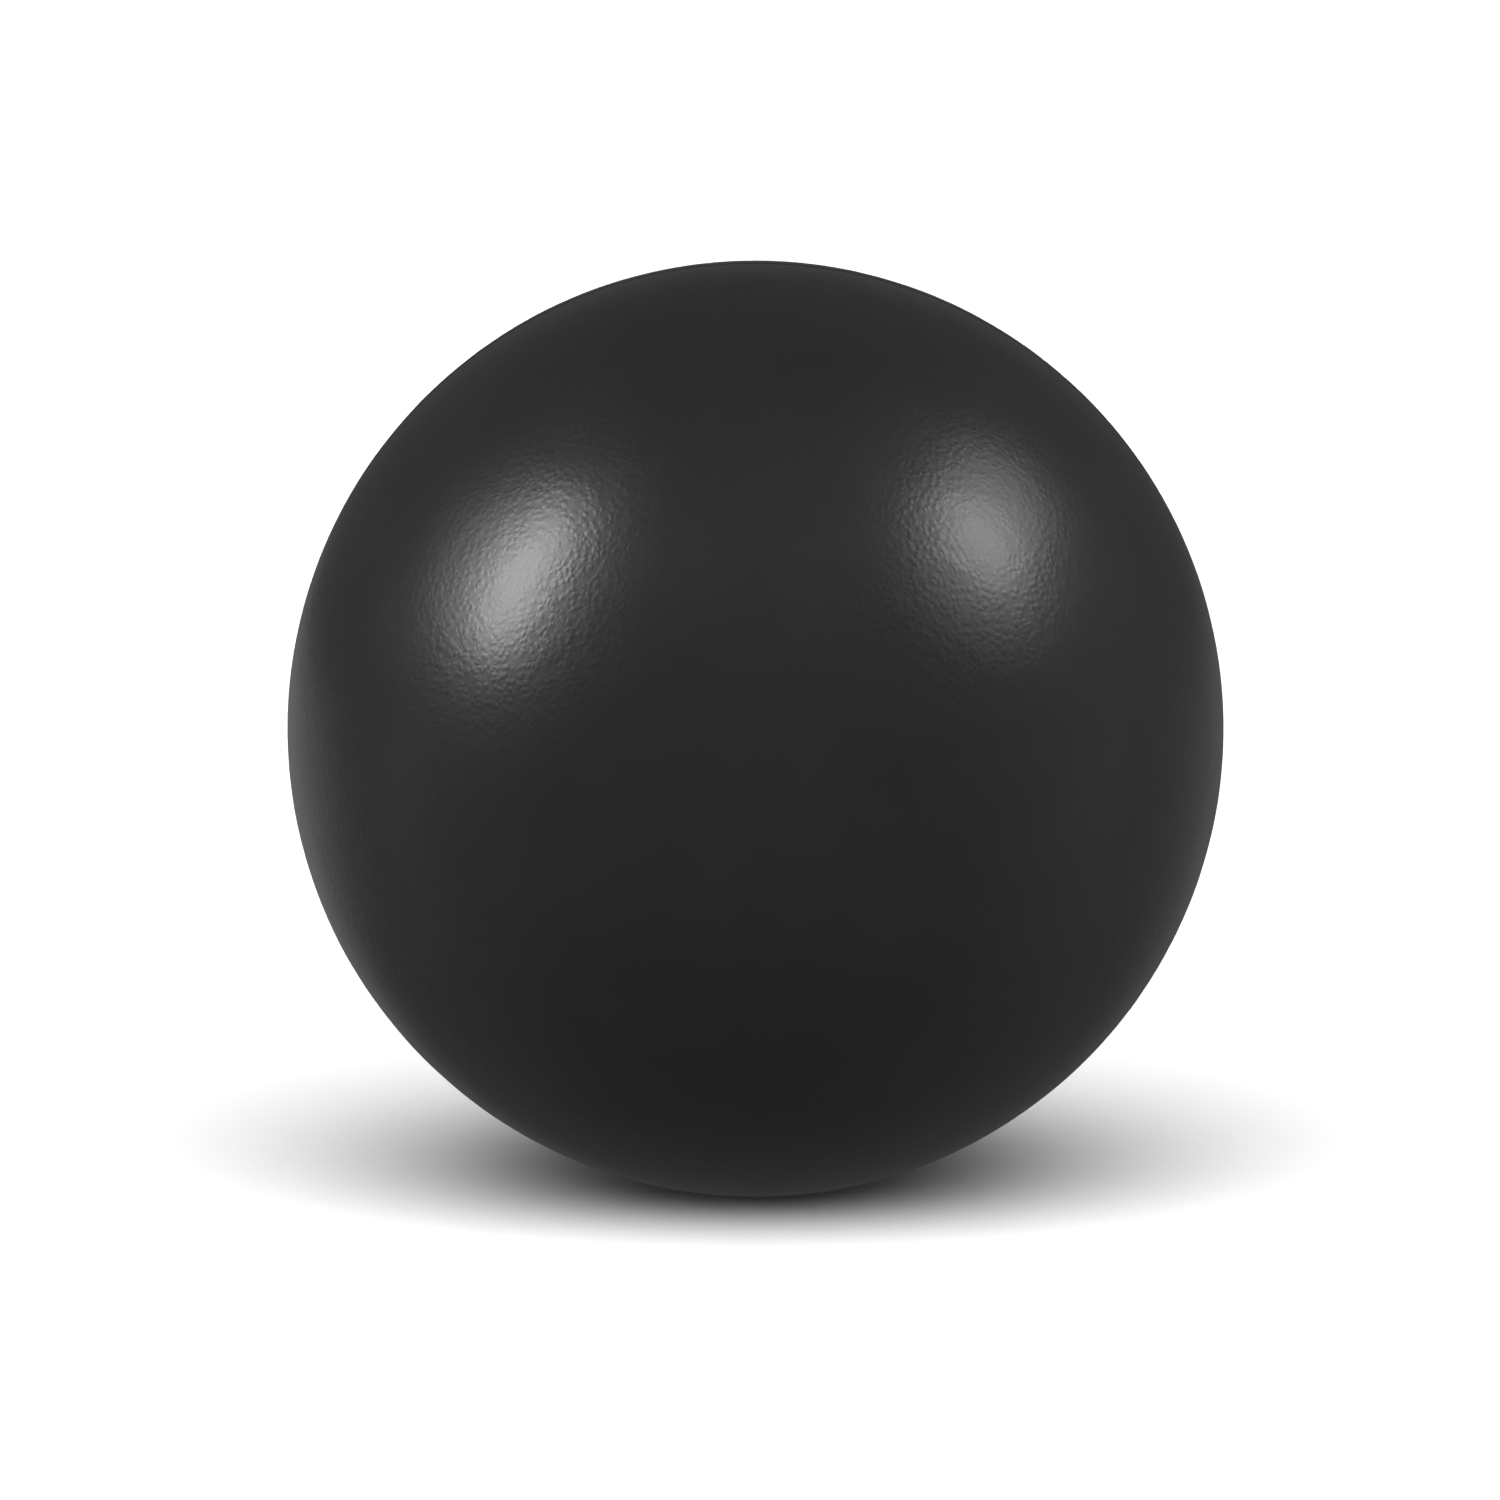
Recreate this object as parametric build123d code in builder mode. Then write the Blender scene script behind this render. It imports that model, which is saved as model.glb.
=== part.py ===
"""Case opening friction ball: a hollow, inflated rubber ball that grips and turns a screwed watch case back.

The ball is built as an inflated one is. Two moulded half covers of tacky natural rubber meet in a bevelled
joint around an air-tight butyl bladder. A rubber valve housing is bonded between bladder and cover, and a
self-sealing valve core, which takes an inflating needle, is pushed into it from outside.

Frame: millimetres, origin at the centre of the ball, +Z up, +Y along the valve from the centre outwards. The
joint between the half covers lies in the XZ plane. Every piece but the slit nose of the valve core is a body
of revolution about Y, drawn in the XY plane with x as the distance from the valve's axis.
"""

import os
from math import asin, degrees, sqrt

from build123d import *

# Driving dimensions
ball_diameter = 65.0
cover_thickness = 3.2
bladder_thickness = 1.3
cement_gap = 0.05  # film of rubber cement between two bonded pieces
joint_bevel = 2.5  # how far the covers' bevelled joint runs along Y, from the outside to the inside
joint_chamfer = 0.15  # breaks both outer edges of the joint, which leaves a fine groove

flange_radius = 9.0
flange_thickness = 1.1
neck_radius = 4.2
neck_depth = 0.6  # of the neck's face below the crown of the ball, so that it clears a watch
neck_rounding = 0.25
barrel_radius = 4.6
barrel_length = 10.8  # from the bladder's outside to the open inner end
barrel_chamfer = 0.8
port_rounding = 0.5

core_head_radius = 3.0
core_head_height = 1.2
core_head_rounding = 0.3
core_shank_radius = 2.2
core_nose_length = 4.0
core_nose_thickness = 0.9  # of the flat nose at its tip
core_nose_cover = 1.0  # the part of the nose's length that stays inside the barrel
core_clearance = 0.05  # on the radius, all the way round the core
needle_radius = 1.0  # of a standard inflating needle, which the core grips
needle_hole_depth = 8.0
needle_lead_in = 0.5
slit_width = 2.4
slit_opening = 0.1  # closed by the air pressure in the real core

# Concentric spheres, from the outside inwards
ball_radius = ball_diameter / 2
cover_inside = ball_radius - cover_thickness
bladder_outside = cover_inside - cement_gap
bladder_inside = bladder_outside - bladder_thickness
flange_underside = bladder_outside + cement_gap
flange_top = flange_underside + flange_thickness
pocket_top = flange_top + cement_gap

# Heights along the valve's axis
neck_face = ball_radius - neck_depth
head_seat = neck_face - core_head_height - core_clearance
head_underside = head_seat + core_clearance
barrel_end = bladder_outside - barrel_length
nose_start = barrel_end + core_nose_cover
nose_tip = nose_start - core_nose_length
needle_hole_end = neck_face - needle_hole_depth

# Radii around the valve's axis
port_radius = neck_radius + cement_gap
pocket_radius = flange_radius + cement_gap
bladder_hole_radius = barrel_radius + cement_gap
housing_bore_radius = core_shank_radius + core_clearance
counterbore_radius = core_head_radius + core_clearance

south_pole = -90.0


def height_on_sphere(sphere_radius, distance):
    """The Y of the point on a sphere that lies that far from the valve's axis, on the valve's side."""
    return sqrt(sphere_radius**2 - distance**2)


def angle_at_distance(sphere_radius, distance):
    """The angle above the XZ plane, in degrees, of that same point."""
    return 90.0 - degrees(asin(distance / sphere_radius))


def angle_at_height(sphere_radius, height):
    """The angle above the XZ plane, in degrees, of the point on a sphere at that Y."""
    return degrees(asin(height / sphere_radius))


def sphere_arc(sphere_radius, start_angle, end_angle):
    """An arc of the profile that revolves into part of a sphere around the origin."""
    return CenterArc((0, 0), sphere_radius, start_angle, end_angle - start_angle)


# The inner end of the covers' joint, on the inside of the cover
joint_inner_angle = angle_at_height(cover_inside, joint_bevel)
gap_angle_outside = angle_at_height(ball_radius, cement_gap)
gap_angle_inside = angle_at_height(cover_inside, cement_gap)

# Plain half cover: a hemisphere whose bevelled rim reaches under the other half
with BuildPart() as cover_half_plain:
    with BuildSketch(Plane.XY):
        with BuildLine():
            outside = sphere_arc(ball_radius, south_pole, 0)
            inside = sphere_arc(cover_inside, joint_inner_angle, south_pole)
            Line(outside @ 1, inside @ 0)
            Line(inside @ 1, outside @ 0)
        make_face()
        rim_corner = vertices().sort_by_distance((ball_radius, 0))[0]
        chamfer(rim_corner, joint_chamfer)
    revolve(axis=Axis.Y)
cover_half_plain.part.label = "cover_half_plain"

# Valve half cover: the other hemisphere, with a port for the valve's neck and a pocket for its flange
with BuildPart() as cover_half_valve:
    with BuildSketch(Plane.XY):
        with BuildLine():
            outside = sphere_arc(ball_radius, gap_angle_outside, angle_at_distance(ball_radius, port_radius))
            pocket = sphere_arc(
                pocket_top,
                angle_at_distance(pocket_top, port_radius),
                angle_at_distance(pocket_top, pocket_radius),
            )
            inside = sphere_arc(
                cover_inside,
                angle_at_distance(cover_inside, pocket_radius),
                joint_inner_angle + gap_angle_inside,
            )
            Line(outside @ 1, pocket @ 0)
            Line(pocket @ 1, inside @ 0)
            Line(inside @ 1, outside @ 0)
        make_face()
        rim_corner = vertices().sort_by_distance((ball_radius, 0))[0]
        chamfer(rim_corner, joint_chamfer)
    revolve(axis=Axis.Y)
    port_edge = edges().filter_by(GeomType.CIRCLE).sort_by(Axis.Y)[-1]
    fillet(port_edge, port_rounding)
cover_half_valve.part.label = "cover_half_valve"

# Bladder: a thin sphere with one hole, where the valve's barrel goes in
with BuildPart() as bladder:
    with BuildSketch(Plane.XY):
        with BuildLine():
            outside = sphere_arc(
                bladder_outside, south_pole, angle_at_distance(bladder_outside, bladder_hole_radius)
            )
            inside = sphere_arc(
                bladder_inside, angle_at_distance(bladder_inside, bladder_hole_radius), south_pole
            )
            Line(outside @ 1, inside @ 0)
            Line(inside @ 1, outside @ 0)
        make_face()
    revolve(axis=Axis.Y)
bladder.part.label = "bladder"

# Valve housing: a neck in the cover's port, a flange bonded on the bladder and a barrel inside it
with BuildPart() as valve_housing:
    with BuildSketch(Plane.XY):
        with BuildLine():
            flange_upper = sphere_arc(
                flange_top,
                angle_at_distance(flange_top, neck_radius),
                angle_at_distance(flange_top, flange_radius),
            )
            flange_lower = sphere_arc(
                flange_underside,
                angle_at_distance(flange_underside, flange_radius),
                angle_at_distance(flange_underside, barrel_radius),
            )
            Polyline(
                flange_lower @ 1,
                (barrel_radius, barrel_end),
                (housing_bore_radius, barrel_end),
                (housing_bore_radius, head_seat),
                (counterbore_radius, head_seat),
                (counterbore_radius, neck_face),
                (neck_radius, neck_face),
                flange_upper @ 0,
            )
            Line(flange_upper @ 1, flange_lower @ 0)
        make_face()
        neck_corner = vertices().sort_by_distance((neck_radius, neck_face))[0]
        fillet(neck_corner, neck_rounding)
        barrel_corner = vertices().sort_by_distance((barrel_radius, barrel_end))[0]
        chamfer(barrel_corner, barrel_chamfer)
    revolve(axis=Axis.Y)
valve_housing.part.label = "valve_housing"

# Valve core: a headed plug with a needle hole, and a flat slit nose that the air presses shut
with BuildPart() as valve_core:
    with BuildSketch(Plane.XY):
        with BuildLine():
            Polyline(
                (0, nose_tip),
                (core_shank_radius, nose_tip),
                (core_shank_radius, head_underside),
                (core_head_radius, head_underside),
                (core_head_radius, neck_face),
                (0, neck_face),
                close=True,
            )
        make_face()
        head_corner = vertices().sort_by_distance((core_head_radius, neck_face))[0]
        fillet(head_corner, core_head_rounding)
    revolve(axis=Axis.Y)
    with BuildSketch(Plane.XY):  # the blind needle hole, with a lead-in at its mouth and a round end
        with BuildLine():
            hole_end = CenterArc((0, needle_hole_end + needle_radius), needle_radius, south_pole, 90)
            Polyline(
                hole_end @ 1,
                (needle_radius, neck_face - needle_lead_in),
                (needle_radius + needle_lead_in, neck_face),
                (0, neck_face),
                hole_end @ 0,
            )
        make_face()
    revolve(axis=Axis.Y, mode=Mode.SUBTRACT)
    with BuildSketch(Plane.YZ):  # the wedge above the flat nose, and its mirror image below
        with BuildLine():
            Polyline(
                (nose_start, core_shank_radius),
                (nose_tip, core_nose_thickness / 2),
                (nose_tip, core_shank_radius),
                close=True,
            )
        make_face()
        mirror(about=Plane.XZ)
    extrude(amount=core_shank_radius, both=True, mode=Mode.SUBTRACT)
    slit_length = needle_hole_end + needle_radius - nose_tip
    with Locations((0, nose_tip + slit_length / 2, 0)):  # the slit, from the hole out through the nose
        Box(slit_width, slit_length, slit_opening, mode=Mode.SUBTRACT)
valve_core.part.label = "valve_core"

os.makedirs("parts", exist_ok=True)
for piece in (cover_half_plain, cover_half_valve, bladder, valve_housing, valve_core):
    export_step(piece.part, f"parts/{piece.part.label}.step")
    print(piece.part.label, round(piece.part.volume, 1), "mm3")
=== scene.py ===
"""The looks of the case opening friction ball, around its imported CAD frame.

Metres, +Z up, +Y along the valve. The profiles that are turned into meshes are in millimetres.
"""

import math

import bpy
import numpy as np
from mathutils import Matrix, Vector


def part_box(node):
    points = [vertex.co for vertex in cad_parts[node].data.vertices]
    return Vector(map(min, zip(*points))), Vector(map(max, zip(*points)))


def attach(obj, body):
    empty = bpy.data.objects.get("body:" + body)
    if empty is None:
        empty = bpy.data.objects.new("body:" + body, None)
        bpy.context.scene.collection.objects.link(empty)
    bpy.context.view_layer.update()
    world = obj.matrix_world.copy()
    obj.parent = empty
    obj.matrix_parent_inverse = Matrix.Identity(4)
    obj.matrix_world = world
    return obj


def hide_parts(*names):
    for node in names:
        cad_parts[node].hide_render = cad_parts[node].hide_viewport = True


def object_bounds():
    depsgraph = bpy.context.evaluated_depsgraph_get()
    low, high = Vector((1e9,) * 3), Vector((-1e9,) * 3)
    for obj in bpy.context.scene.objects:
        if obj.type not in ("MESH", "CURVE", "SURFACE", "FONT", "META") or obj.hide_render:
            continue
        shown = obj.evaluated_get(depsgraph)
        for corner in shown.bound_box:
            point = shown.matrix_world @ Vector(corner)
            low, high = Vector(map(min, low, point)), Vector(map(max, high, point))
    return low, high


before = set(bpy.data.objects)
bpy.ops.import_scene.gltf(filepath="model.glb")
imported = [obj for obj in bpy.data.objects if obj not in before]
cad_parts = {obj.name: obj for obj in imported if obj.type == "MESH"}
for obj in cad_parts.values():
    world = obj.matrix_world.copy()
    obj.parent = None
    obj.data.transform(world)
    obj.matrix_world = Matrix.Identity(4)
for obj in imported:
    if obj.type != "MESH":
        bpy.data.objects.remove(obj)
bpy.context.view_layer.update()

MM = 0.001

# Sizes in millimetres, from the frame. A radius is about the ball's centre or the valve's axis.
BALL = -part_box("cover_half_plain")[0].y / MM
JOINT_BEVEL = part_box("cover_half_plain")[1].y / MM
CEMENT_GAP = 0.05
COVER_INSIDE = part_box("bladder")[1].x / MM + CEMENT_GAP
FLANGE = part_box("valve_housing")[1].x / MM
BARREL_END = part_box("valve_housing")[0].y / MM
NECK_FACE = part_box("valve_housing")[1].y / MM
CORE_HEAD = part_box("valve_core")[1].x / MM
NOSE_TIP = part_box("valve_core")[0].y / MM

# The rest of the sizes, as in the CAD
FLANGE_THICKNESS = 1.1
NECK = 4.2
BARREL = 4.6
BARREL_CHAMFER = 0.8
CORE_SHANK = 2.2
CORE_GAP = 0.05
HEAD_HEIGHT = 1.2
NEEDLE = 1.0
NEEDLE_DEPTH = 8.0
NOSE_LENGTH = 4.0
NOSE_THICKNESS = 0.9
SLIT_WIDTH = 2.4
SLIT_THICKNESS = 0.1
PORT_ROUNDING = 0.5
BLADDER_WALL = 1.3
BLADDER_OPENING = BARREL + CEMENT_GAP

FLANGE_TOP = COVER_INSIDE + FLANGE_THICKNESS
POCKET_TOP = FLANGE_TOP + CEMENT_GAP
POCKET = FLANGE + CEMENT_GAP
PORT = NECK + CEMENT_GAP
BORE = CORE_SHANK + CORE_GAP
COUNTERBORE = CORE_HEAD + CORE_GAP
HEAD_UNDERSIDE = NECK_FACE - HEAD_HEIGHT
SEAT = HEAD_UNDERSIDE - CORE_GAP

# The groove that the covers' joint leaves in the skin, and the edges of the two covers in it
GROOVE_CENTRE = 0.115
GROOVE_HALF_WIDTH = 0.17
GROOVE_DEPTH = 0.12
RIM_PLAIN = 0.09
RIM_VALVE = 0.14
NEAR_JOINT = 1.7  # degrees from the joint, within which the rows of points lie closer
TOWARDS_JOINT = [0.80, 0.62, 0.47, 0.35, 0.25, 0.17, 0.10, 0.045, 0.0]

# The mould's insert around the valve leaves a fine ring in the skin, and calmer rubber inside it
INSERT = 7.6
INSERT_RING_DEPTH = 0.045
INSERT_RING_WIDTH = 0.16
INSERT_CALMED = 0.7
INSERT_EDGE = 0.4

# The orange peel: the shortest and longest wave, the slope and the seed of each of its two layers
PEEL_FINE = {"shortest": 1.1, "longest": 2.6, "slope": 0.007, "seed": 3}
PEEL_COARSE = {"shortest": 4.0, "longest": 11.0, "slope": 0.004, "seed": 4}
SKIN_THICKNESS = 0.6  # how deep below the ball's surface a point still counts as skin

# A shallow ring is moulded in the face of the housing's neck
FACE_RING_INNER = 0.32  # from the counterbore
FACE_RING_OUTER = 0.72
FACE_RING_DEPTH = 0.1

# A shallow dish in the core's head leads the needle into its hole
DISH = NEEDLE + 0.95
DISH_FOOT = NEEDLE + 0.5
DISH_DEPTH = 0.12
LEAD_IN_DEPTH = 0.62

# Point spacings of the meshes
SKIN = 0.3
SKIN_ROWS = SKIN * 0.9
INSIDE = 1.2
WALL = 0.7
BEVEL_ROWS = 0.8
FINE = 0.13


def polar(radius, degrees):
    return radius * math.cos(math.radians(degrees)), radius * math.sin(math.radians(degrees))


def angle_at(radius, distance):
    """Degrees above the joint's plane of the point on a sphere that lies that far from the valve's axis."""
    return math.degrees(math.acos(distance / radius))


def arc_rows(radius, start, end, step, spacing, centre=(0.0, 0.0)):
    """Profile rows along an arc, from start to end in degrees, both included."""
    steps = max(1, round(abs(math.radians(end - start)) * radius / step))
    rows = []
    for k in range(steps + 1):
        x, y = polar(radius, start + (end - start) * k / steps)
        rows.append((max(0.0, centre[0] + x), centre[1] + y, spacing))
    return rows


def line_rows(start, end, step, spacing):
    """Profile rows along a straight line, without its two ends."""
    steps = max(1, round(math.dist(start, end) / step))
    first, last = Vector(start), Vector(end)
    return [(*first.lerp(last, k / steps), spacing) for k in range(1, steps)]


def rounded(corners, spacing, steps=4):
    """Profile rows through corners of (distance, height, rounding radius)."""
    rows = []
    for k, (x, y, radius) in enumerate(corners):
        if radius == 0:
            rows.append((x, y, spacing))
            continue
        here = Vector((x, y))
        before = (Vector(corners[k - 1][:2]) - here).normalized()
        after = (Vector(corners[k + 1][:2]) - here).normalized()
        half = before.angle(after) / 2
        middle = here + (before + after).normalized() * radius / math.sin(half)
        first = here + before * radius / math.tan(half) - middle
        last = here + after * radius / math.tan(half) - middle
        for i in range(steps + 1):
            point = middle + first.lerp(last, i / steps).normalized() * radius
            rows.append((point.x, point.y, spacing))
    return rows


def filled(rows, step, spacing):
    """The same profile with more rows along its straight stretches."""
    longer = []
    for row, following in zip(rows, rows[1:]):
        longer += [row, *line_rows(row[:2], following[:2], step, spacing)]
    return longer + rows[-1:]


def stitch(first, second):
    """Faces between two rings of point numbers, which may have different counts."""
    n, m = len(first), len(second)
    if n == m:
        return [(first[k], second[k], second[(k + 1) % m], first[(k + 1) % n]) for k in range(n)]
    faces = []
    i = n if n == 1 else 0
    j = m if m == 1 else 0
    while i < n or j < m:
        if j == m or (i < n and (i + 1) * m < (j + 1) * n):
            faces.append((first[i % n], second[j % m], first[(i + 1) % n]))
            i += 1
        else:
            faces.append((first[i % n], second[j % m], second[(j + 1) % m]))
            j += 1
    return faces


def new_piece(name, points, faces):
    mesh = bpy.data.meshes.new(name)
    mesh.from_pydata(points, [], faces)
    piece = bpy.data.objects.new(name, mesh)
    bpy.context.scene.collection.objects.link(piece)
    return piece


def smooth(mesh):
    mesh.shade_smooth()
    mesh.set_sharp_from_angle(angle=math.radians(40))


def lathe(name, rows, closed=False, shape=None):
    """Turns a profile about the valve's axis.

    rows are (distance from the axis, height, point spacing), and the outside is on their right. shape moves
    the points before the mesh is made.
    """
    points, rings, start = [], [], 0
    for distance, height, spacing in rows:
        on_axis = distance < 1e-6
        count = 1 if on_axis else max(24, round(2 * math.pi * distance / spacing))
        turn = np.arange(count) * 2 * math.pi / count
        x, z = distance * np.cos(turn), distance * np.sin(turn)
        points.append(np.column_stack((x, np.full(count, height), z)))
        rings.append(range(start, start + count))
        start += count
    points = np.vstack(points)
    if shape is not None:
        points = shape(points)
    pairs = list(zip(rings, rings[1:]))
    if closed:
        pairs.append((rings[-1], rings[0]))
    piece = new_piece(name, points * MM, [face for pair in pairs for face in stitch(*pair)])
    smooth(piece.data)
    return piece


def waves(points, shortest, longest, slope, seed, count=160):
    """Heights of a gently uneven surface: small waves of random direction, length and phase, added up."""
    random = np.random.default_rng(seed)
    direction = random.normal(size=(count, 3))
    direction /= np.linalg.norm(direction, axis=1)[:, None]
    length = shortest * (longest / shortest) ** random.random(count)
    phase = random.random(count) * 2 * math.pi
    height = slope * length / (2 * math.pi) * math.sqrt(2 / count)
    total = np.zeros(len(points))
    for d, l, p, h in zip(direction, length, phase, height):
        total += h * np.sin(points @ (d * 2 * math.pi / l) + p)
    return total


def unevenness(skin):
    """How the groove's width varies around the ball, about 1: long waves and short ones that come and go."""
    turn = np.arctan2(skin[:, 2], skin[:, 0])
    long_waves = 0.12 * np.sin(7 * turn + 1.0) * np.sin(3 * turn)
    short_waves = 0.08 * np.sin(31 * turn) * np.sin(5 * turn)
    return 1 + long_waves + short_waves


def moulded_skin(points):
    """The relief of the covers' outside: orange peel, the insert's ring and calm disc, the joint's groove."""
    radius = np.linalg.norm(points, axis=1)
    outside = radius > BALL - SKIN_THICKNESS
    skin = points[outside]
    on_valve_side = skin[:, 1] > 0
    from_axis = np.hypot(skin[:, 0], skin[:, 2])
    on_insert = on_valve_side * np.clip((INSERT - from_axis) / INSERT_EDGE, 0, 1)
    peel = waves(skin, **PEEL_FINE) + waves(skin, **PEEL_COARSE)
    from_ring = (from_axis - INSERT) / INSERT_RING_WIDTH
    ring = -INSERT_RING_DEPTH * on_valve_side * np.exp(-(from_ring**2))
    across = (skin[:, 1] - GROOVE_CENTRE) / (GROOVE_HALF_WIDTH * unevenness(skin))
    groove = -GROOVE_DEPTH * np.exp(-(across**2))
    away_from_joint = 1 - np.exp(-((across / 4) ** 2))
    lift = peel * (1 - INSERT_CALMED * on_insert) * away_from_joint + groove + ring
    points[outside] = skin * (1 + lift / radius[outside])[:, None]
    return points


def plain_half():
    """The cover's half on the side away from the valve."""
    edge = math.degrees(math.asin(RIM_PLAIN / BALL))
    rows = arc_rows(BALL, -90, -NEAR_JOINT, SKIN_ROWS, SKIN)
    rows += [(*polar(BALL, edge - (NEAR_JOINT + edge) * t), SKIN) for t in TOWARDS_JOINT]
    bevel_foot = (math.sqrt(COVER_INSIDE**2 - JOINT_BEVEL**2), JOINT_BEVEL)
    rows += line_rows((BALL - GROOVE_DEPTH, RIM_PLAIN), bevel_foot, BEVEL_ROWS, WALL)
    rows += arc_rows(COVER_INSIDE, math.degrees(math.asin(JOINT_BEVEL / COVER_INSIDE)), -90, INSIDE, INSIDE)
    return lathe("cover_half_plain_skin", rows, shape=moulded_skin)


def valve_half():
    """The cover's half around the valve, with its port's rounded lip and the pocket for the flange."""
    edge = math.degrees(math.asin(RIM_VALVE / BALL))
    lip_distance = PORT + PORT_ROUNDING
    lip = (lip_distance, math.sqrt((BALL - PORT_ROUNDING) ** 2 - lip_distance**2))
    lip_start = math.degrees(math.atan2(lip[1], lip[0]))
    around_valve = angle_at(BALL, INSERT + 2)
    closer_rows = 40
    rows = [(*polar(BALL, edge + (NEAR_JOINT - edge) * t), SKIN) for t in reversed(TOWARDS_JOINT)]
    rows += arc_rows(BALL, NEAR_JOINT, around_valve, SKIN_ROWS, SKIN)
    for k in range(1, closer_rows):
        part = k / closer_rows
        angle = around_valve + (lip_start - around_valve) * part
        rows.append((*polar(BALL, angle), SKIN + (FINE - SKIN) * part))
    rows += arc_rows(PORT_ROUNDING, lip_start, 180, 0.08, FINE, centre=lip)
    rows += line_rows((PORT, lip[1]), (PORT, math.sqrt(POCKET_TOP**2 - PORT**2)), 0.4, 0.2)
    rows += arc_rows(POCKET_TOP, angle_at(POCKET_TOP, PORT), angle_at(POCKET_TOP, POCKET), 0.8, 0.5)
    bevel_foot = math.degrees(math.asin((JOINT_BEVEL + CEMENT_GAP) / COVER_INSIDE))
    rows += arc_rows(COVER_INSIDE, angle_at(COVER_INSIDE, POCKET), bevel_foot, INSIDE, INSIDE)
    groove_floor = (BALL - GROOVE_DEPTH, RIM_VALVE)
    rows += line_rows(polar(COVER_INSIDE, bevel_foot), groove_floor, BEVEL_ROWS, WALL)
    return lathe("cover_half_valve_skin", rows, closed=True, shape=moulded_skin)


def inner_ball():
    """The bladder: a thin shell with a round opening, which the housing's barrel passes through."""
    outer = COVER_INSIDE - CEMENT_GAP
    inner = outer - BLADDER_WALL
    rows = arc_rows(outer, -90, angle_at(outer, BLADDER_OPENING), INSIDE, INSIDE)[:-1]
    for radius in (outer, inner):
        rows.append((BLADDER_OPENING, math.sqrt(radius**2 - BLADDER_OPENING**2), 0.5))
    rows += arc_rows(inner, angle_at(inner, BLADDER_OPENING), -90, INSIDE, INSIDE)[1:]
    return lathe("bladder_shell", rows)


def housing():
    """The valve's housing, with a shallow ring moulded in its neck's face. Each corner has its rounding."""
    ring_inner = COUNTERBORE + FACE_RING_INNER
    ring_outer = COUNTERBORE + FACE_RING_OUTER
    ring_floor = NECK_FACE - FACE_RING_DEPTH
    barrel_top = math.sqrt(COVER_INSIDE**2 - BARREL**2)
    neck_foot = math.sqrt(FLANGE_TOP**2 - NECK**2)
    barrel = [
        (BORE, BARREL_END, 0),
        (BARREL - BARREL_CHAMFER, BARREL_END, 0.3),
        (BARREL, BARREL_END + BARREL_CHAMFER, 0.3),
        (BARREL, barrel_top, 0),
    ]
    neck = [
        (NECK, neck_foot, 0),
        (NECK, NECK_FACE, 0.25),
        (ring_outer, NECK_FACE, 0.04),
        (ring_outer - FACE_RING_DEPTH, ring_floor, 0.04),
        (ring_inner + FACE_RING_DEPTH, ring_floor, 0.04),
        (ring_inner, NECK_FACE, 0.04),
        (COUNTERBORE, NECK_FACE, 0.12),
        (COUNTERBORE, SEAT, 0.1),
        (BORE, SEAT, 0.1),
        (BORE, BARREL_END, 0),
    ]
    rows = rounded(barrel, 0.25)[1:]
    under, over = COVER_INSIDE, FLANGE_TOP
    rows += arc_rows(under, angle_at(under, BARREL), angle_at(under, FLANGE), 0.5, 0.4)[1:]
    rows += arc_rows(over, angle_at(over, FLANGE), angle_at(over, NECK), 0.5, 0.4)
    rows += rounded(neck, FINE)[1:]
    return lathe("valve_housing_body", rows, closed=True)


def flat_nose(points):
    """Presses the valve core's end into a flat nose."""
    part = np.clip((NOSE_TIP + NOSE_LENGTH - points[:, 1]) / NOSE_LENGTH, 0, 1)
    on_nose = (part > 0) & (np.hypot(points[:, 0], points[:, 2]) > 0)
    half = (CORE_SHANK + (NOSE_THICKNESS / 2 - CORE_SHANK) * part)[on_nose]
    z = points[on_nose, 2]
    sharpness = 10  # of the edges between the flats and the round sides
    pressed = (np.maximum(np.abs(z), 1e-6) ** -sharpness + half**-sharpness) ** (-1 / sharpness)
    points[on_nose, 2] = np.sign(z) * pressed
    return points


def cut_slit(piece, top):
    """Cuts the flat slit that the needle pushes through, from the nose's tip up to the needle hole."""
    x, z = SLIT_WIDTH / 2, SLIT_THICKNESS / 2
    outline = [(-x, -z), (-x, z), (x, z), (x, -z)]
    corners = [(across, y, up) for y in (NOSE_TIP - 1, top) for across, up in outline]
    sides = [(0, 1, 5, 4), (1, 2, 6, 5), (2, 3, 7, 6), (3, 0, 4, 7), (3, 2, 1, 0), (4, 5, 6, 7)]
    blade = new_piece("slit_blade", np.array(corners) * MM, sides)
    cut = piece.modifiers.new("slit", "BOOLEAN")
    cut.operation = "DIFFERENCE"
    cut.solver = "EXACT"
    cut.object = blade
    finished = piece.evaluated_get(bpy.context.evaluated_depsgraph_get())
    piece.data = bpy.data.meshes.new_from_object(finished)
    piece.modifiers.clear()
    bpy.data.objects.remove(blade)
    smooth(piece.data)


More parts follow.
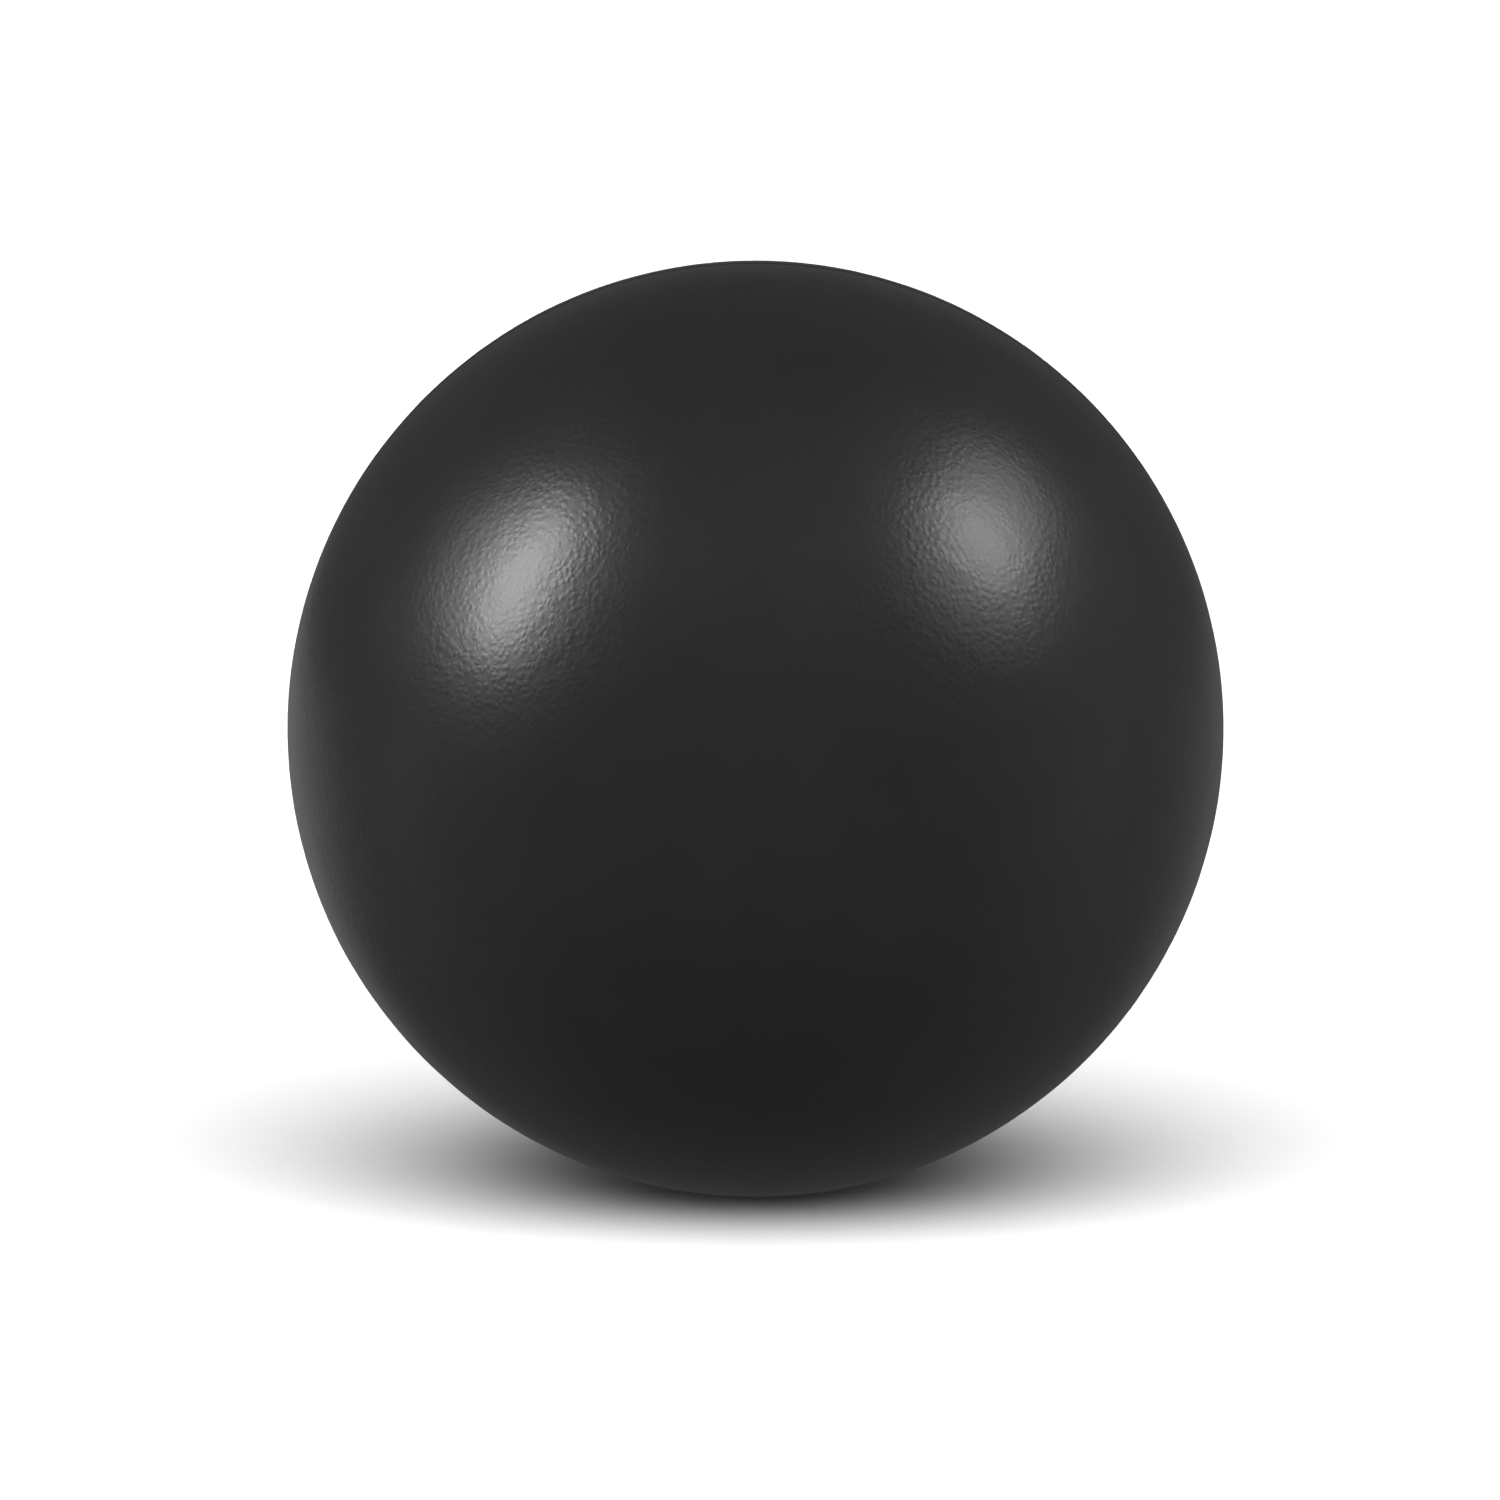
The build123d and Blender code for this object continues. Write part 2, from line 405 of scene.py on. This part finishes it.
def core():
    """The valve core: a headed plug with a needle hole and a flat slit nose. Each corner has its rounding."""
    hole_end = NECK_FACE - NEEDLE_DEPTH
    outline = [
        (0, NOSE_TIP, 0),
        (CORE_SHANK, NOSE_TIP, 0.25),
        (CORE_SHANK, HEAD_UNDERSIDE, 0.08),
        (CORE_HEAD, HEAD_UNDERSIDE, 0.12),
        (CORE_HEAD, NECK_FACE, 0.3),
        (DISH, NECK_FACE, 0.06),
        (DISH_FOOT, NECK_FACE - DISH_DEPTH, 0.06),
        (NEEDLE, NECK_FACE - LEAD_IN_DEPTH, 0.12),
        (NEEDLE, hole_end + NEEDLE, 0),
    ]
    rows = filled(rounded(outline, FINE, steps=5), 0.3, FINE)
    rows += arc_rows(NEEDLE, 0, -90, 0.2, FINE, centre=(0, hole_end + NEEDLE))[1:]
    plug = lathe("valve_core_plug", rows, shape=flat_nose)
    cut_slit(plug, top=hole_end + 0.5 * NEEDLE)
    return plug


def node(tree, kind, inputs=None, **settings):
    """Adds a shader node. A socket among the inputs is linked, and anything else is set as a value."""
    made = tree.nodes.new(kind)
    for key, value in settings.items():
        setattr(made, key, value)
    for key, value in (inputs or {}).items():
        if isinstance(value, bpy.types.NodeSocket):
            tree.links.new(value, made.inputs[key])
        else:
            made.inputs[key].default_value = value
    return made


def maths(tree, operation, *values):
    return node(tree, "ShaderNodeMath", dict(enumerate(values)), operation=operation).outputs[0]


def vectors(tree, operation, inputs):
    return node(tree, "ShaderNodeVectorMath", inputs, operation=operation).outputs[0]


def ramp(tree, value, start, end, low=0.0, high=1.0, kind="SMOOTHSTEP"):
    """Goes from low to high while the value goes from start to end."""
    inputs = {"Value": value, "From Min": start, "From Max": end, "To Min": low, "To Max": high}
    return node(tree, "ShaderNodeMapRange", inputs, interpolation_type=kind).outputs["Result"]


def noise(tree, vector, size, detail=2.0, roughness=0.5, output="Fac"):
    """A cloudy pattern from 0 to 1, with features of about that size in millimetres."""
    inputs = {"Vector": vector, "Scale": 1 / (size * MM), "Detail": detail, "Roughness": roughness}
    return node(tree, "ShaderNodeTexNoise", inputs).outputs[output]


def rubber(name, dark, light, smoothest, roughest, cell, relief):
    """Moulded rubber.

    dark and light are the ends of its mottling, and smoothest and roughest those of its roughness, which is
    least on the grain's domes. cell is the grain's size and relief its height, in millimetres.
    """
    material = bpy.data.materials.new(name)
    material.use_nodes = True
    tree = material.node_tree
    shader = tree.nodes["Principled BSDF"]
    place = node(tree, "ShaderNodeTexCoord").outputs["Object"]

    # The grain: rounded cells with creases between them, pushed out of shape by a coarser noise
    wander = noise(tree, place, 2.0 * cell, output="Color")
    push = vectors(tree, "SUBTRACT", {0: wander, 1: (0.5, 0.5, 0.5)})
    push = vectors(tree, "SCALE", {0: push, "Scale": 1.1 * cell * MM})
    pushed = vectors(tree, "ADD", {0: place, 1: push})
    cells = node(tree, "ShaderNodeTexVoronoi", {"Vector": pushed, "Scale": 1 / (cell * MM)})
    domes = ramp(tree, cells.outputs["Distance"], 0.75, 0.05)
    pores = maths(tree, "MULTIPLY", noise(tree, place, 0.4 * cell), 0.4)
    swells = maths(tree, "MULTIPLY", noise(tree, place, 3.0 * cell), 0.5)
    grain = maths(tree, "ADD", domes, pores)
    height = maths(tree, "ADD", grain, swells)
    bump = node(tree, "ShaderNodeBump", {"Strength": 1.0, "Distance": relief * MM, "Height": height})
    tree.links.new(bump.outputs["Normal"], shader.inputs["Normal"])

    mottle = ramp(tree, noise(tree, place, 9.0, detail=4.0, roughness=0.6), 0.3, 0.7, kind="LINEAR")
    colour = node(tree, "ShaderNodeMix", {"Factor": mottle}, data_type="RGBA")
    colour.inputs["A"].default_value = (*dark, 1)
    colour.inputs["B"].default_value = (*light, 1)
    tree.links.new(colour.outputs["Result"], shader.inputs["Base Color"])

    worn = ramp(tree, noise(tree, place, 3.0, detail=5.0), 0.3, 0.7, 0.0, 0.2, kind="LINEAR")
    polish = maths(tree, "SUBTRACT", grain, worn)
    roughness = ramp(tree, polish, 1.2, 0.0, smoothest, roughest, kind="LINEAR")
    tree.links.new(roughness, shader.inputs["Roughness"])
    return material


def dress(piece, body, replaced, material):
    piece.data.materials.clear()
    piece.data.materials.append(material)
    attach(piece, body)
    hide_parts(replaced)


cover_rubber = rubber("cover_rubber", (0.0185,) * 3, (0.0215,) * 3, 0.275, 0.30, cell=0.45, relief=0.008)
housing_rubber = rubber("housing_rubber", (0.016,) * 3, (0.022,) * 3, 0.50, 0.62, cell=0.4, relief=0.006)
core_rubber = rubber("core_rubber", (0.026,) * 3, (0.034,) * 3, 0.38, 0.48, cell=0.3, relief=0.004)
blue_black, blue_grey = (0.012, 0.012, 0.013), (0.03, 0.03, 0.031)
bladder_rubber = rubber("bladder_rubber", blue_black, blue_grey, 0.6, 0.8, cell=1.2, relief=0.02)

dress(plain_half(), "ball", "cover_half_plain", cover_rubber)
dress(valve_half(), "ball", "cover_half_valve", cover_rubber)
dress(housing(), "ball", "valve_housing", housing_rubber)
dress(core(), "valve_core", "valve_core", core_rubber)
dress(inner_ball(), "ball", "bladder", bladder_rubber)


def direction(azimuth, elevation):
    """A unit vector from the ball. Azimuth 0 is towards the camera, and it grows to the camera's right."""
    a, e = math.radians(azimuth), math.radians(elevation)
    return Vector((math.sin(a) * math.cos(e), -math.cos(a) * math.cos(e), math.sin(e)))


def face(thing, towards):
    """Turns a thing's own +Z axis to a direction."""
    thing.rotation_mode = "QUATERNION"
    thing.rotation_quaternion = towards.to_track_quat("Z", "Y")


CARD_CORNERS = 48


def softbox(name, azimuth, elevation, width, height, radiance, core, distance):
    """A lit oval card, of a width and height in degrees as seen from the ball.

    Its light fades from a core, given as a share of its size, out to its edge. It shows only as gloss on the
    ball.
    """
    across = distance * math.tan(math.radians(width / 2))
    up = distance * math.tan(math.radians(height / 2))
    turns = [2 * math.pi * k / CARD_CORNERS for k in range(CARD_CORNERS)]
    outline = [(across * math.cos(t), up * math.sin(t), 0) for t in turns]
    card = new_piece(name, outline, [range(CARD_CORNERS)])
    card.location = direction(azimuth, elevation) * distance
    face(card, -direction(azimuth, elevation))
    card.visible_camera = False
    card.visible_diffuse = False
    card.visible_shadow = False
    material = bpy.data.materials.new(name)
    material.use_nodes = True
    tree = material.node_tree
    tree.nodes.clear()
    place = node(tree, "ShaderNodeTexCoord").outputs["Object"]
    place = vectors(tree, "DIVIDE", {0: place, 1: (across, up, 1)})
    from_centre = node(tree, "ShaderNodeVectorMath", {0: place}, operation="LENGTH").outputs["Value"]
    light = node(tree, "ShaderNodeEmission", {"Strength": ramp(tree, from_centre, 1.0, core, high=radiance)})
    node(tree, "ShaderNodeOutputMaterial", {"Surface": light.outputs[0]})
    card.data.materials.append(material)


def sun(name, azimuth, elevation, angle, strength, lit):
    """A wide, far light without gloss, which lights only the things in a collection."""
    data = bpy.data.lights.new(name, "SUN")
    data.energy = strength
    data.angle = math.radians(angle)
    light = bpy.data.objects.new(name, data)
    face(light, direction(azimuth, elevation))
    light.visible_glossy = False
    light.light_linking.receiver_collection = lit
    bpy.context.scene.collection.objects.link(light)


def floor_group(name, state):
    """A collection for light linking that holds the floor, as the one thing lit or the one thing left out."""
    group = bpy.data.collections.new(name)
    group.objects.link(floor)
    group.collection_objects[0].light_linking.link_state = state
    return group


# The floor has its own light, and isn't seen by the ball
FLOOR_SIZE = 6.0
FLOOR_WHITE = 0.85
half = FLOOR_SIZE / 2
floor_corners = [(-half, -half, 0), (half, -half, 0), (half, half, 0), (-half, half, 0)]
floor = new_piece("floor", floor_corners, [(0, 1, 2, 3)])
floor.location.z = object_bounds()[0][2]
floor_white = bpy.data.materials.new("floor_white")
floor_white.use_nodes = True
paint = floor_white.node_tree.nodes["Principled BSDF"].inputs
paint["Base Color"].default_value = (FLOOR_WHITE, FLOOR_WHITE, FLOOR_WHITE, 1)
paint["Roughness"].default_value = 0.9
paint["Specular IOR Level"].default_value = 0.0
floor.data.materials.append(floor_white)
floor.visible_diffuse = False
floor.visible_glossy = False
floor.visible_shadow = False

# Two umbrellas, each a bright middle in front of a dimmer skirt
softbox("umbrella_left", -71.6, 33.4, 17, 35, radiance=13.6, core=0.92, distance=0.60)
softbox("umbrella_left_skirt", -83.0, 32.8, 26, 34, radiance=1.8, core=0.95, distance=0.64)
softbox("umbrella_right", 76.5, 40.6, 18, 23, radiance=8.3, core=0.92, distance=0.60)
softbox("umbrella_right_skirt_back", 95.0, 42.5, 24, 22, radiance=2.6, core=0.92, distance=0.62)
softbox("umbrella_right_skirt_front", 69.5, 36.0, 32, 30, radiance=1.2, core=0.92, distance=0.64)

# Suns without gloss, each with its azimuth, elevation, angle and strength: one for the floor, and wide fills
# for the ball
floor_only = floor_group("floor_only", "INCLUDE")
not_floor = floor_group("not_floor", "EXCLUDE")
sun("floor_light", 0, 50, 80, 6.0, floor_only)
sun("fill_crown", 0, 60, 60, 2.6, not_floor)
sun("fill_left", -110, -10, 60, 3.0, not_floor)
sun("fill_right", 110, -10, 60, 3.0, not_floor)
sun("fill_low", 0, -30, 60, 1.1, not_floor)
sun("fill_back", 180, -8, 60, 3.0, not_floor)

# The studio: white to the camera, and for the ball's gloss dark, but for a lit table top behind it and a
# faint glow over its crown
AMBIENT = 0.075
BACKDROP = 1.05
TABLE_LEFT = 0.27
TABLE_RIGHT = 0.12
CROWN_GLOW = 0.05

world = bpy.data.worlds.new("studio")
bpy.context.scene.world = world
world.use_nodes = True
tree = world.node_tree
tree.nodes.clear()
way = node(tree, "ShaderNodeSeparateXYZ", {0: node(tree, "ShaderNodeTexCoord").outputs["Generated"]})
to_left = ramp(tree, way.outputs["X"], 0.0, -0.3, high=TABLE_LEFT)
to_right = ramp(tree, way.outputs["X"], 0.0, 0.3, high=TABLE_RIGHT)
sides = maths(tree, "ADD", to_left, to_right)
under_horizon = ramp(tree, way.outputs["Z"], 0.0, -0.09)
above_table = ramp(tree, way.outputs["Z"], -0.5, -0.2)
table = maths(tree, "MULTIPLY", sides, maths(tree, "MULTIPLY", under_horizon, above_table))
behind = ramp(tree, way.outputs["Y"], 0.35, 0.9)
far_behind = ramp(tree, way.outputs["Y"], 0.92, 0.985, high=CROWN_GLOW)
over_crown = maths(tree, "MULTIPLY", far_behind, ramp(tree, way.outputs["Z"], 0.05, 0.15))
glow = maths(tree, "ADD", maths(tree, "MULTIPLY", behind, table), over_crown)
studio = node(tree, "ShaderNodeBackground", {"Strength": maths(tree, "ADD", glow, AMBIENT)})
backdrop = node(tree, "ShaderNodeBackground", {"Strength": BACKDROP})
for part in (studio, backdrop):
    part.inputs["Color"].default_value = (1, 1, 1, 1)
seen = node(tree, "ShaderNodeLightPath").outputs["Is Camera Ray"]
mixed = node(tree, "ShaderNodeMixShader", {0: seen, 1: studio.outputs[0], 2: backdrop.outputs[0]})
node(tree, "ShaderNodeOutputWorld", {"Surface": mixed.outputs[0]})

bpy.context.scene.view_settings.view_transform = "Standard"

# Camera: a long lens, a little above the floor
CAMERA_ELEVATION = 8.0
CAMERA_DISTANCE = 1.2
BALL_SHARE = 0.3121  # of the frame's width that the ball's radius takes
BALL_OFFSET = (0.0037, 0.0143)  # of the ball's centre from the frame's, as shares of its width

camera_data = bpy.data.cameras.new("camera")
camera_data.lens = camera_data.sensor_width * BALL_SHARE / math.tan(math.asin(BALL * MM / CAMERA_DISTANCE))
camera_data.shift_x = -BALL_OFFSET[0]
camera_data.shift_y = -BALL_OFFSET[1]
camera_data.clip_start = 0.01
camera = bpy.data.objects.new("camera", camera_data)
camera.location = direction(0, CAMERA_ELEVATION) * CAMERA_DISTANCE
face(camera, direction(0, CAMERA_ELEVATION))
bpy.context.scene.collection.objects.link(camera)
bpy.context.scene.camera = camera
